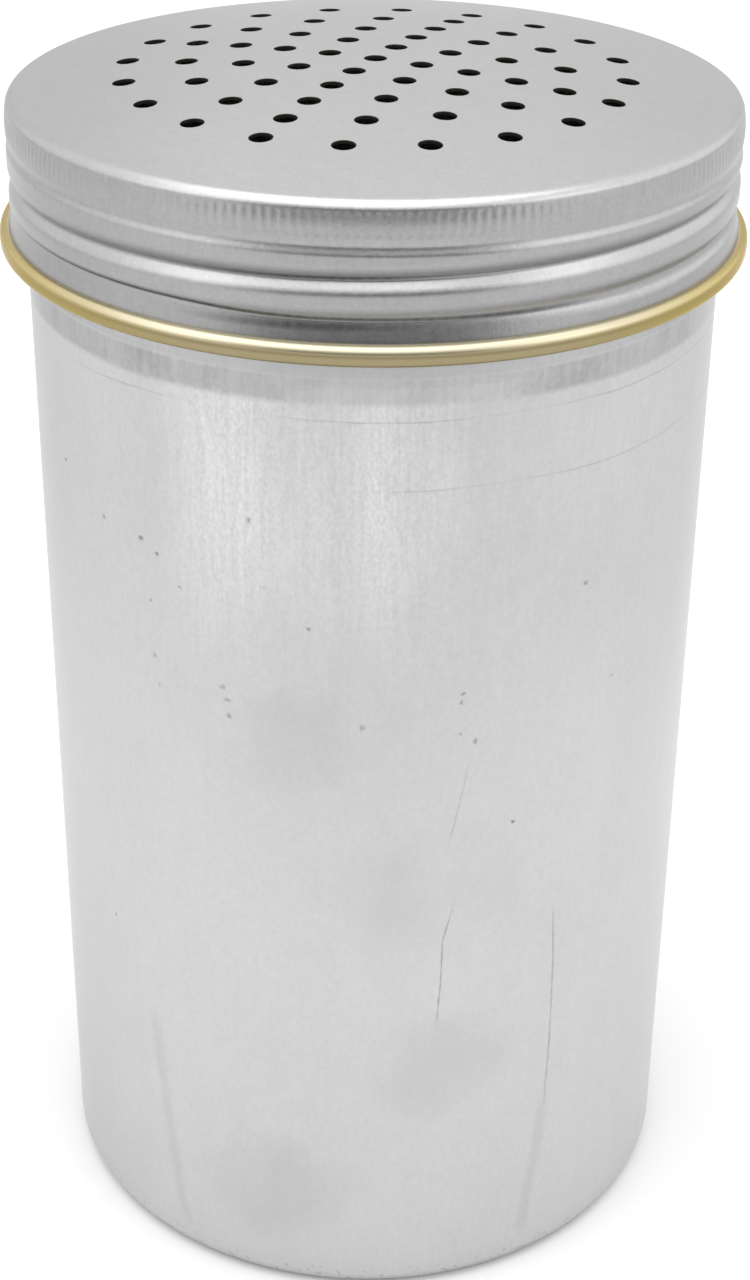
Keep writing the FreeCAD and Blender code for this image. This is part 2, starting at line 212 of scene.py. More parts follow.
class Finish:
    # a node tree for a material or the world, with one method that makes any node

    def __init__(self, holder):
        holder.use_nodes = True
        self.holder, self.tree = holder, holder.node_tree
        self.tree.nodes.clear()

    def node(self, kind, settings=None, inputs=None, output=0):
        made = self.tree.nodes.new(kind)
        for key, value in (settings or {}).items():
            if key == "stops":
                self.setStops(made.color_ramp, value)
            else:
                setattr(made, key, value)
        for key, value in (inputs or {}).items():
            if isinstance(value, Wire):
                self.tree.links.new(value.socket, made.inputs[key])
            else:
                made.inputs[key].default_value = value
        return Wire(self, made.outputs[output]) if made.outputs else made

    def setStops(self, ramp, stops):
        # stops are pairs of place and grey
        while len(ramp.elements) < len(stops):
            ramp.elements.new(1)
        for element, (place, tone) in zip(ramp.elements, stops):
            element.position = place
            element.color = (tone, tone, tone, 1)

    def place(self, scale=(1000, 1000, 1000)):
        # Object coordinates, in millimetres unless another scale is asked for
        start = self.node("ShaderNodeTexCoord", output="Object")
        return self.node("ShaderNodeMapping", {}, {"Vector": start, "Scale": scale})

    def noise(self, scale, detail, rough=0.5):
        # noise stretched by a scale per axis, from 0 to 1
        inputs = {"Vector": self.place(scale), "Scale": 1.0, "Detail": detail, "Roughness": rough}
        return self.node("ShaderNodeTexNoise", {}, inputs)

    def soft(self, value, low, high):
        # 0 at low and 1 at high, with a soft S between them
        return self.node("ShaderNodeMapRange", {"interpolation_type": "SMOOTHSTEP"},
                         {"Value": value, "From Min": low, "From Max": high})

    def mix(self, share, one, other):
        return self.node("ShaderNodeMix", {"data_type": "RGBA"}, {0: share, 6: one, 7: other}, 2)

    def tint(self, colour, value):
        # a colour made lighter or darker by a value
        start = colour if isinstance(colour, Wire) else colour[:3]
        return self.node("ShaderNodeVectorMath", {"operation": "SCALE"}, {0: start, "Scale": value})

    def metal(self, colour, roughness, normal=None, metallic=1.0, **constants):
        inputs = {"Base Color": colour, "Roughness": roughness, "Metallic": metallic}
        inputs.update({key.replace("_", " "): value for key, value in constants.items()})
        if normal is not None:
            inputs["Normal"] = normal
        shader = self.node("ShaderNodeBsdfPrincipled", {}, inputs)
        self.node("ShaderNodeOutputMaterial", {}, {"Surface": shader})
        return self.holder

    def bump(self, height, distance):
        inputs = {"Height": height, "Distance": distance, "Strength": 1.0}
        return self.node("ShaderNodeBump", {}, inputs)

    def axes(self, vector):
        # a vector's three parts
        return [self.node("ShaderNodeSeparateXYZ", {}, {0: vector}, output=i) for i in range(3)]

    def ramp(self, stops, value):
        # a grey read from stops
        return self.node("ShaderNodeValToRGB", {"stops": stops}, {0: value})

    def uneven(self, *noises):
        # 1, made lighter and darker by noises, each with its strength
        shade = 1
        for noise, strength in noises:
            shade = (noise - 0.5) * strength + shade
        return shade


def newMaterial(name):
    return Finish(bpy.data.materials.new(name))


# Materials

canFinish = {
    "colour": (0.54, 0.54, 0.545, 1),
    "roughness": 0.42,
    # scales of the noises along X, Y and Z
    "streaks": (1700, 1700, 130),
    "drawn": (420, 420, 11),
    "grain": (1500, 1500, 1300),
    "mottle": (3000, 3000, 1800),
    "cloud": (45, 45, 30),
    "blotch": (240, 240, 160),
    "bumpDistance": 0.00003,  # in metres
    "skin": (39.3, 39.6),  # marks fade in between these radii
    "upper": (55, 112),  # painted shade: the wall is painted darker between these heights
    "aside": (30, 50),  # and painted darker still this far round from the front, as painted shade
    "paintedShadeBand": (121.6, 124.5),  # painted shade: a darker band under the hem
    "bandSpan": 120.0,
    # how dark its painted shade is along the wall, from 60 mm left of the front to 60 mm right
    "bandStops": [(0.04, 0.07), (0.15, 0.24), (0.28, 0.26), (0.33, 0.20), (0.39, 0.18), (0.45, 0.08),
                  (0.56, 0.07), (0.62, 0.08), (0.67, 0.23), (0.84, 0.19), (0.92, 0.07)],
    "underHem": 0.72,  # how dark the painted shadow is close under the hem
    "underHemLevels": (125.9, 128.6),
    "patchTall": (84.0, 122.0),  # a paler streaky patch below the band, at the front: partly real polish streaks, partly a painted highlight
    "patchFade": 27.0,  # how far up from its foot it fades in
    "patchSpan": 70.0,
    # its paleness across the front, from 35 mm left of the middle to 35 mm right
    "patchStops": [(0.14, 0.0), (0.19, 0.45), (0.24, 1.0), (0.31, 0.9), (0.37, 0.5), (0.46, 0.5),
                   (0.51, 0.95), (0.56, 0.55), (0.62, 0.4), (0.66, 0.12), (0.80, 0.03), (1.0, 0.0)],
    # faint turned lines: height, strength, and how far right of the front they fade in
    "ringLines": [(119.9, 0.6, -34), (112.1, 0.5, 2)],
    "ringHalf": 0.17,
    "pathSpan": 80.0,  # the stretch of wall that a scratch's ramp covers
    "pathTall": 150.0,
    "markDepth": 0.62,  # how dark pits and scratches are
    "dustTop": 4.5,  # specks of dust round the foot end here
    # pits and specks: azimuth, height, reach, strength
    "pits": [
        (-148.9, 114.7, 0.4, 0.6), (-149.7, 106.4, 0.4, 0.7), (-138.0, 102.5, 0.5, 0.6),
        (-129.1, 102.0, 0.6, 0.8), (-125.8, 100.8, 0.55, 0.8), (-121.4, 97.6, 0.4, 0.6),
        (-108.9, 107.7, 0.5, 0.6), (-127.5, 94.6, 0.35, 0.6), (-106.9, 99.9, 0.35, 0.5),
        (-53.4, 97.6, 0.6, 0.6), (-65.3, 68.8, 0.5, 1.0), (-91.0, 83.3, 0.7, 0.5),
        (-72.7, 80.7, 0.6, 0.6), (-75.0, 87.0, 0.5, 0.7), (-75.1, 85.9, 0.5, 0.7),
        (-75.2, 81.9, 0.45, 0.5), (-99.6, 95.5, 0.4, 0.6), (-140.6, 47.4, 0.35, 0.7),
        (-114.0, 86.4, 0.7, 0.5), (-113.2, 84.9, 0.7, 0.5), (-113.0, 82.8, 0.7, 0.6),
        (-127.0, 87.8, 0.6, 0.4), (-126.3, 84.1, 0.6, 0.4), (-46.0, 84.0, 0.5, 0.4),
    ],
    # soft smudges: azimuth, height, reach, strength
    "smudges": [
        (-104.3, 80.9, 7.0, 0.055), (-84.4, 57.3, 14.0, 0.08), (-77.0, 36.1, 11.0, 0.07),
        (-109.0, 15.8, 8.0, 0.045), (-97.0, 14.0, 7.0, 0.035), (-58.0, 100.0, 12.0, 0.02),
    ],
    # scratches, and soft creases whose shade is painted: half width, strength, then azimuths and heights
    # from the foot up
    "scratches": [
        (0.16, 0.48, [(-77.8, 41.5), (-77.3, 47.4), (-77.1, 53.9), (-75.2, 59.4)]),
        (0.20, 0.22, [(-76.8, 66.6), (-75.6, 70.5), (-73.4, 78.3)]),
        (0.22, 0.35, [(-56.0, 23.6), (-55.5, 34.5), (-55.7, 46.8), (-56.4, 55.0)]),
        # the last two are soft dents: their dark lines are painted shade, with a bump as well
        (1.30, 0.13, [(-59.9, 4.0), (-59.0, 10.0), (-57.2, 18.0), (-56.0, 27.0)]),
        (1.30, 0.12, [(-124.2, 3.8), (-125.6, 7.5), (-128.5, 21.4), (-129.9, 30.5), (-131.0, 37.0)]),
    ],
}


def wallPoint(azimuth, height):
    # a point of the can's wall
    angle = math.radians(azimuth)
    return (canSizes["radius"] * math.cos(angle), canSizes["radius"] * math.sin(angle), height)


def canAluminium():
    look = newMaterial("can_aluminium")
    place = look.place()
    x, y, up = look.axes(place)
    across = x.math("ARCTAN2", y * -1) * canSizes["radius"]  # along the wall from the front
    near, far = canFinish["skin"]
    outer = look.soft(x * x + y * y, near ** 2, far ** 2)  # 0 inside the can
    streaks = look.noise(canFinish["streaks"], 3.0)
    drawn = look.noise(canFinish["drawn"], 2.0)
    grain = look.noise(canFinish["grain"], 3.0)
    mottle = look.noise(canFinish["mottle"], 2.0)
    cloud = look.noise(canFinish["cloud"], 3.0)
    blotch = look.noise(canFinish["blotch"], 4.0, rough=0.6)

    # painted highlight on the front, with real polish streaks in it
    low, high = canFinish["patchTall"]
    patch = look.ramp(canFinish["patchStops"], across / canFinish["patchSpan"] + 0.5)
    patch = patch * look.soft(up, low, low + canFinish["patchFade"])
    patch = patch * (1 - look.soft(up, high - 0.5, high + 0.3)) * (0.5 + cloud) * outer
    upper = look.soft(up, *canFinish["upper"])

    # painted shade: a darker band under the hem, with a ragged lower edge
    low, high = canFinish["paintedShadeBand"]
    edge = up + (streaks - 0.5) * 0.5 + (blotch - 0.5) * 0.8
    band = look.soft(edge, low - 0.4, low + 0.4) * (1 - look.soft(up, high - 0.1, high + 0.3)) * outer
    bandShade = look.ramp(canFinish["bandStops"], across / canFinish["bandSpan"] + 0.5)
    bandShade = bandShade.most(look.soft(up, 123.2, 123.9) * 0.13)
    # painted shade right under the hem: a darker strip, and a darker shadow close under the curl
    strip = look.soft(up, high - 0.05, high + 0.45) * (1 - look.soft(up, high + 1.4, high + 2.0)) * outer
    low, high = canFinish["underHemLevels"]
    underHem = look.soft(up, low, low + 0.5) * (1 - look.soft(up, low + 1.0, high) * 0.8) * outer

    def nearness(azimuth, height, reach, ragged):
        # 1 at a point of the wall, 0 beyond its uneven reach
        gap = look.node("ShaderNodeVectorMath", {"operation": "DISTANCE"},
                        {0: place, 1: wallPoint(azimuth, height)}, 1)
        return look.soft(gap + ragged, reach, reach * 0.2)

    marks = 0
    pitEdge = (mottle - 0.5) * 0.9
    for azimuth, height, reach, strength in canFinish["pits"]:
        spot = nearness(azimuth, height, reach * 0.75, pitEdge) * (strength * 0.85)
        marks = spot.most(marks)
    for width, strength, path in canFinish["scratches"]:
        # the path's azimuth is read from a ramp over height
        span, tall = canFinish["pathSpan"], canFinish["pathTall"]
        stops = [(height / tall, math.radians(azimuth + 90) * canSizes["radius"] / span + 0.5)
                 for azimuth, height in path]
        line = look.ramp(stops, up / tall)
        off = abs(across - (line - 0.5) * span) + (grain - 0.5) * 0.25
        ends = look.soft(up, path[0][1] - 1, path[0][1] + 3)
        ends = ends * (1 - look.soft(up, path[-1][1] - 4, path[-1][1] + 1))
        marks = (look.soft(off, width, width * 0.2) * ends * strength).most(marks)
    for height, strength, start in canFinish["ringLines"]:
        wander = (cloud - 0.5) * 1.2
        line = look.soft(abs(up + wander - height), canFinish["ringHalf"], 0.03)
        line = line * look.soft(across, start - 8, start + 8)
        marks = (line * look.soft(cloud, 0.25, 0.6) * strength * 0.5).most(marks)
    smudge = 0
    cloudEdge = (cloud - 0.5) * 22 + (blotch - 0.5) * 10
    for azimuth, height, reach, strength in canFinish["smudges"]:
        smudge = nearness(azimuth, height, reach, cloudEdge) * strength + smudge

    fleck = look.soft(streaks, 0.32, 0.66)
    fine = look.soft(mottle, 0.35, 0.65)
    shade = look.uneven((grain, 0.18), (cloud, 0.10), (drawn, 0.03), (blotch, 0.05))
    # painted shade: the upper wall is painted darker, more so towards both sides
    near, far = canFinish["aside"]
    shade = shade - upper * (0.085 + look.soft(abs(across), near, far) * 0.05)
    # painted shade: the wall is painted darker on the left
    shade = shade - look.soft(across * -1, near, far) * look.soft(across, -120, -80) * 0.05
    shade = shade + upper * ((streaks - 0.5) * 0.06 + (mottle - 0.5) * 0.08)
    shade = shade + patch * (0.09 + fleck * 0.10 + fine * 0.12)
    shade = shade - band * (bandShade - (fleck - 0.5) * 0.04 - (blotch - 0.5) * 0.24)
    shade = shade - strip * (0.12 + look.soft(abs(across), 22, 46) * 0.12)
    shade = shade * (1 - underHem * canFinish["underHem"])
    shade = shade - smudge * (0.3 + grain * 0.6 + blotch * 0.8)
    dust = look.soft(grain, 0.55, 0.68) * (1 - look.soft(up, 1.5, canFinish["dustTop"]))
    shade = shade * (1 - marks * outer * canFinish["markDepth"]) * (1 - dust * 0.3)
    colour = look.tint(canFinish["colour"], shade)
    roughness = canFinish["roughness"] + (grain - 0.5) * 0.12 + marks * 0.2 - band * 0.03
    normal = look.bump(streaks * 0.35 + grain * 0.4 - marks * 1.6, canFinish["bumpDistance"])
    return look.metal(colour, roughness, normal)


lidFinish = {
    "colour": (0.378, 0.378, 0.383, 1),
    "lacquer": (0.50, 0.44, 0.25, 1),
    "holeShade": (0.03, 0.028, 0.026, 1),  # painted shade: the punched holes' walls are painted nearly black
    "roughness": 0.34,
    # scales of the noises along X, Y and Z
    "grain": (2600, 2600, 2600),
    "rolled": (1700, 1700, 160),
    "cloud": (60, 60, 60),
    "speckle": (700, 700, 700),
    # painted shade, darker to both sides: from, to, how much
    "paintedSideShade": [(-12, -36, 0.11), (14, 38, 0.05)],
    "bumpDistance": 0.000014,  # in metres
}


def lidAluminium():
    look = newMaterial("lid_aluminium")
    grain = look.noise(lidFinish["grain"], 3.0)
    rolled = look.noise(lidFinish["rolled"], 2.0)
    cloud = look.noise(lidFinish["cloud"], 2.0)
    speckle = look.noise(lidFinish["speckle"], 3.0)
    across, _, up = look.axes(look.place())
    face = look.node("ShaderNodeAttribute", {"attribute_name": "zone"}, output="Fac")
    cut = (face - 1).most(0)
    lacquered = face.least(1).most(0)
    # painted shade, carried by negative zone values
    paintedShade = (face * -1).most(0)
    flank = 1 - look.soft(up, domeRim - 0.6, domeRim)
    shade = look.uneven((grain, 0.24), (speckle, 0.10), (cloud, 0.07))
    # painted shade: the lid's side is painted a little darker than the dome; its rolled streaks are real
    shade = shade + (rolled - 0.5) * flank * 0.10 - flank * 0.04
    # painted shade: darker towards both sides, more on the left
    sideDarkening = 0
    for start, end, strength in lidFinish["paintedSideShade"]:
        sideDarkening = look.soft(across, start, end) * strength + sideDarkening
    shade = shade * (1 - paintedShade * (0.85 + (rolled - 0.5) * 0.4)) * (1 - sideDarkening)
    colour = look.tint(look.mix(lacquered, lidFinish["colour"], lidFinish["lacquer"]), shade)
    # painted shade: the punched walls are painted nearly black
    colour = look.mix(cut, colour, lidFinish["holeShade"])
    roughness = lidFinish["roughness"] + (grain - 0.5) * 0.10 + cut * 0.3
    normal = look.bump(grain + rolled * flank * 0.8, lidFinish["bumpDistance"])
    return look.metal(colour, roughness, normal)


hemFinish = {
    "colour": (0.43, 0.36, 0.20, 1),
    "aside": (0.35, 0.28, 0.10, 1),  # deeper gold towards both sides
    "warm": (0.37, 0.285, 0.15, 1),  # browner and darker on the left, in patches
    "paleHighlight": (0.50, 0.455, 0.33, 1),  # painted highlight: paler on top of the curl at the front
    "under": 0.30,  # painted shade: how much darker its lower half is painted
    "line": 0.26,  # painted reflection: a darker brown line along its middle, at the front
    "bare": (0.42, 0.415, 0.40, 1),  # the curl's end at the skirt is bare metal, painted paler, most at the sides, as painted light
    "bareRadii": (42.03, 42.16),  # the gold fades in between these
    # heights over the hem's foot where each of these begins and ends
    "underLevels": (1.6, 2.05),
    "crestLevels": (1.75, 2.2),
    "lineLevels": (1.3, 1.6, 1.65, 1.95),
    "edgeTint": (0.88, 0.78, 0.54, 1),
    "roughness": 0.26,
    "crestRoughness": 0.13,  # how much rougher the crest is
    "grain": (1500, 1500, 1500),
    "cloud": (70, 70, 70),
}


def goldLacquer():
    look = newMaterial("gold_lacquer")
    grain = look.noise(hemFinish["grain"], 2.0)
    cloud = look.noise(hemFinish["cloud"], 2.0)
    x, y, up = look.axes(look.place())
    up = up - hemLow[2]
    aside = look.soft(abs(x), 16, 34)
    # painted shade on the lower half, less towards the sides
    under = (1 - look.soft(up, *hemFinish["underLevels"])) * (1 - aside * 0.6)
    # painted highlight on top of the curl, mostly at the front
    crest = look.soft(up, *hemFinish["crestLevels"]) * (1 - look.soft(abs(x), 20, 38) * 0.8)
    # the curl's bare end: partly real bare metal, partly painted light that lifts it at the sides
    near, far = hemFinish["bareRadii"]
    bare = (1 - look.soft(x * x + y * y, near ** 2, far ** 2)) * (0.3 + aside * 0.7)
    sideDarkening = look.soft(x, -16, -38) * look.soft(cloud, 0.2, 0.8)
    # painted reflection: a dark brown line along the middle of the curl
    foot, low, high, top = hemFinish["lineLevels"]
    line = look.soft(up, foot, low) * (1 - look.soft(up, high, top))
    line = line * (1 - aside * 0.7) * hemFinish["line"]
    colour = look.mix(aside, hemFinish["colour"], hemFinish["aside"])
    for share, finish in ((sideDarkening * 0.7, "warm"), (crest, "paleHighlight"), (bare, "bare")):
        colour = look.mix(share, colour, hemFinish[finish])
    shade = look.uneven((grain, 0.06), (cloud, 0.12))
    colour = look.tint(colour, shade * (1 - under * hemFinish["under"]) * (1 - line))
    roughness = hemFinish["roughness"] + (grain - 0.5) * 0.04 + sideDarkening * 0.05
    roughness = roughness + crest * hemFinish["crestRoughness"]
    return look.metal(colour, roughness, Specular_Tint=hemFinish["edgeTint"], Coat_Weight=0.2,
                      Coat_Roughness=0.25)


sealFinish = {
    "colour": (0.80, 0.78, 0.73, 1),
    "roughness": 0.85,
    "cells": (2500, 2500, 2500),
    "bumpDistance": 0.00008,  # in metres
}


def sealFoam():
    look = newMaterial("seal_foam")
    cells = look.noise(sealFinish["cells"], 3.0)
    colour = look.tint(sealFinish["colour"], look.uneven((cells, 0.15)))
    normal = look.bump(cells, sealFinish["bumpDistance"])
    return look.metal(colour, sealFinish["roughness"], normal, metallic=0.0)


# The lid

lidSizes = {
    "sheet": 0.4,
    "domeDrop": 3.2,
    "cornerRadius": 1.3,
    "cornerPoints": 12,
    "bandRadius": 9.0,  # the knurled band is a little barrel-shaped
    "bandTopLean": 12.0,  # how far the band's face leans up at its top, in degrees
    "bandFootLean": 4.0,  # and down at its foot
    "ringBelowRim": 4.6,
    "ringDepth": 0.20,
    "ringHalf": 1.15,
    "flankSlope": 0.59,  # the thread's groove has straight flanks
    "flankReach": 1.3,
    "crestRound": 0.5,  # how far a flank bends over into its crest
    "valleyRound": 0.13,
    "shallowSkirt": (3.6, 4.4),  # the groove's depth grows between these heights
    "paintedShade": 0.85,  # how dark the painted shade is in the groove's bottom
    "shadeHalf": 0.5,
    "shadeFront": 262.0,  # azimuth where it is thickest
    "shadeSpread": 30.0,
    "shadeLower": 0.45,  # how much lower it lies in the first lap
    "shadeCrease": (186, 216),  # azimuths where it fades in along the skirt's step
    "shadeSkirt": 0.36,  # painted shade on the front of the skirt
    "shadeSkirtFront": 272.0,
    "shadeSkirtSpread": 55.0,
    "grooveFoot": 2.2,
    "grooveFrom": 235.0,
    "grooveTo": 790.0,
    "grooveFade": 24.0,
    "skirtTop": 3.8,
    "skirtRise": 0.4,  # the step is this much higher at the left
    "skirtStep": 0.45,
    "skirtStepAway": 0.14,  # where the groove has climbed above it
    # azimuths where the step grows at the back, sinks from its rise, and shrinks at the right
    "stepGrows": (60, 140),
    "stepSinks": (238, 262),
    "stepShrinks": (284, 318),
    "stepTall": 0.45,
    "skirtFlare": 0.15,  # the skirt ends this much outside the crests
    "flareFoot": 1.4,
    "tuckIn": 0.3,  # the skirt goes in again where the hem's curl hides it
    "knurls": 256,
    "knurlDepth": 0.075,
    "knurlTop": 143.1,
    "knurlFoot": 140.1,
    "knurlFade": 0.6,
}
# Depth of a knurl's four points, from its crest round to its next crest
knurlShares = np.array([0.0, 0.45, 1.0, 0.45])

holeSizes = {
    "radius": 1.25,
    "step": 5.67,
    "phase": 65.6,
    "edgeRound": 0.1,
    "points": 28,
    "netPitch": 2.1,  # the net of points between the holes
    "netClear": 0.9,  # how far it keeps from a hole
    "netInset": 1.6,  # and from the dome's edge
    "rimInset": 0.8,
}
# The holes of one quarter: ring number, azimuth from the straight row, share of the ring's radius
quarterHolesShares = [
    (1, 0, 1.0),
    (2, 0, 1.0), (2, 45, 0.8),
    (3, 0, 1.0), (3, 29, 0.872), (3, 61, 0.872),
    (4, 0, 1.0), (4, 22, 0.941), (4, 45, 0.9225), (4, 68, 0.941),
    (5, 0, 1.0), (5, 18, 1.0), (5, 36, 1.0), (5, 54, 1.0), (5, 72, 1.0),
]


def holeCentres():
    # the middle hole and four quarters of the pattern
    ring, turned, share = np.array(quarterHolesShares).T
    azimuth = np.radians(holeSizes["phase"] + turned + 90 * np.arange(4)[:, None]).ravel()
    reach = np.tile(holeSizes["step"] * ring * share, 4)
    places = np.stack([reach * np.cos(azimuth), reach * np.sin(azimuth)], -1)
    return np.concatenate([np.zeros((1, 2)), places])


domeRim = lidTop - lidSizes["domeDrop"]
ballRadius = (lidRadius ** 2 + lidSizes["domeDrop"] ** 2) / (2 * lidSizes["domeDrop"])
ballCentre = lidTop - ballRadius


def cornerAndBand():
    # centres of the corner's arc and of the band's arc, which touch the dome and each other
    corner, band = lidSizes["cornerRadius"], lidSizes["bandRadius"]
    lean = math.radians(lidSizes["bandTopLean"])
    cornerOut = lidRadius - band + (band - corner) * math.cos(lean)
    domeAngle = math.asin(cornerOut / (ballRadius - corner))
    cornerUp = ballCentre + (ballRadius - corner) * math.cos(domeAngle)
    bandUp = cornerUp - (band - corner) * math.sin(lean)
    return cornerOut, cornerUp, bandUp, domeAngle


cornerOut, cornerUp, bandUp, domeAngle = cornerAndBand()
bandOut = lidRadius - lidSizes["bandRadius"]
domeEdge = ballRadius * math.sin(domeAngle)


def domeHeight(points, under=0.0):
    # height of the dome's ball over points of the XY plane, lowered by the sheet for its inside
    flat = (points ** 2).sum(-1)
    return ballCentre + np.sqrt((ballRadius - under) ** 2 - flat)


def bandRadiusAt(height):
    # the band's barrel arc, kept at its foot's lean further down
    band = lidSizes["bandRadius"]
    foot = bandUp - band * math.sin(math.radians(lidSizes["bandFootLean"]))
    inArc = np.maximum(height, foot)
    radius = bandOut + np.sqrt(band ** 2 - (inArc - bandUp) ** 2)
    lean = math.tan(math.radians(lidSizes["bandFootLean"]))
    return radius - lean * (inArc - height)


def hump(share):
    # a cosine hump: 1 in the middle, 0 from -1 outwards and from 1 outwards
    return np.cos(np.clip(share, -1, 1) * np.pi / 2) ** 2


def skirtStepAt(azimuth):
    # depth of the skirt's step: full at the left and the front, small at the right and the back
    away = smooth(azimuth, *lidSizes["stepShrinks"]) + 1 - smooth(azimuth, *lidSizes["stepGrows"])
    return lidSizes["skirtStep"] + (lidSizes["skirtStepAway"] - lidSizes["skirtStep"]) * away


def skirtTopAt(azimuth):
    # height of the step's upper end
    left = smooth(azimuth, *lidSizes["stepGrows"]) * (1 - smooth(azimuth, *lidSizes["stepSinks"]))
    return hemLevel + lidSizes["skirtTop"] + lidSizes["skirtRise"] * left


def threadDepthAt(height, azimuth):
    # depth of the rolled thread and its painted shade: a groove with straight flanks, rounded at its
    # bottom and into the crests, whose middle climbs one pitch in each turn
    fade, half = lidSizes["grooveFade"], lidSizes["shadeHalf"]
    shallow, full = lidSizes["shallowSkirt"]
    depth = np.zeros(np.broadcast(height, azimuth).shape)
    paintedShade = np.zeros(depth.shape)
    for lap in range(3):
        along = azimuth + 360 * lap
        middle = hemLevel + lidSizes["grooveFoot"] + threadPitch * (along - threadStart) / 360
        off = height - middle
        # over the skirt the groove is shallower, and its lower flank runs out into the skirt
        over = 1 - smooth(middle, hemLevel + shallow, hemLevel + full)
        off = np.where(off < 0, off * (1 - 0.5 * over), off)
        inside = lidSizes["flankReach"] - np.hypot(off, lidSizes["valleyRound"])
        cut = lidSizes["flankSlope"] * softMax(inside, 0, lidSizes["crestRound"]) * (1 - 0.3 * over)
        begun = smooth(along, lidSizes["grooveFrom"] - fade, lidSizes["grooveFrom"] + fade)
        ended = smooth(along, lidSizes["grooveTo"] - fade, lidSizes["grooveTo"] + fade)
        depth = np.maximum(depth, cut * begun * (1 - ended))
        # painted shade lies in the bottom, thickest at the front, and thins out up the flank above
        thick = 0.3 + 0.7 * hump((azimuth - lidSizes["shadeFront"]) / lidSizes["shadeSpread"])
        lower = lidSizes["shadeLower"] * (lap == 0)
        shaded = lidSizes["paintedShade"] * thick * hump((off - 0.2 + lower) / half)
        shaded = shaded + 0.3 * hump((off - 0.85) / 0.95)
        paintedShade = np.maximum(paintedShade, shaded * begun * (1 - ended))
    # painted shade along the skirt's step and on the front of the skirt
    top = skirtTopAt(azimuth)
    crease = lidSizes["paintedShade"] * hump((height - top + 0.15) / half)
    crease = crease * smooth(skirtStepAt(azimuth), lidSizes["skirtStepAway"], lidSizes["skirtStep"])
    crease = crease * (0.25 + 0.75 * smooth(azimuth, *lidSizes["shadeCrease"]))
    front = hump((azimuth - lidSizes["shadeSkirtFront"]) / lidSizes["shadeSkirtSpread"])
    skirt = (0.05 + lidSizes["shadeSkirt"] * front) * (1 - smooth(height, top - 0.9, top - 0.4))
    return depth, np.maximum(np.maximum(paintedShade, crease), skirt)


def sideRadius(height, azimuth):
    # the lid's outer radius below its band: crest radius less its ring, thread and skirt
    height = height + 0 * azimuth
    ringUp = domeRim - lidSizes["ringBelowRim"]
    ring = lidSizes["ringDepth"] * hump((height - ringUp) / lidSizes["ringHalf"])
    belowRing = 1 - smooth(height, ringUp - 0.8, ringUp + 0.6)
    skirtUp = skirtTopAt(azimuth)
    stepUp = skirtUp - lidSizes["stepTall"]
    step = skirtStepAt(azimuth)
    skirt = step * (1 - smooth(height, stepUp, skirtUp))
    flareUp = hemLevel + lidSizes["flareFoot"]
    flare = (step + lidSizes["skirtFlare"]) * np.clip((stepUp - height) / (stepUp - flareUp), 0, 1)
    flare = flare - lidSizes["tuckIn"] * (1 - smooth(height, hemLevel + 0.2, hemLevel + 1.0))
    crest = bandRadiusAt(np.maximum(height, ringUp)) * (1 - belowRing) + lidRadius * belowRing
    thread = threadDepthAt(height, azimuth)[0]
    return crest - softMax(softMax(thread, skirt, 0.1), ring, 0.03) + 0.03 * belowRing + flare


skirtWidest = lidRadius + lidSizes["skirtFlare"]
lidLowInside = skirtWidest - lidSizes["tuckIn"] - lidSizes["sheet"]


def stepsDown(*stretches):
    # heights that go down through stretches, each of (top, foot, steps)
    levels = [np.linspace(top, foot, steps, endpoint=False) for top, foot, steps in stretches]
    return np.concatenate(levels + [[stretches[-1][1]]])[:, None]


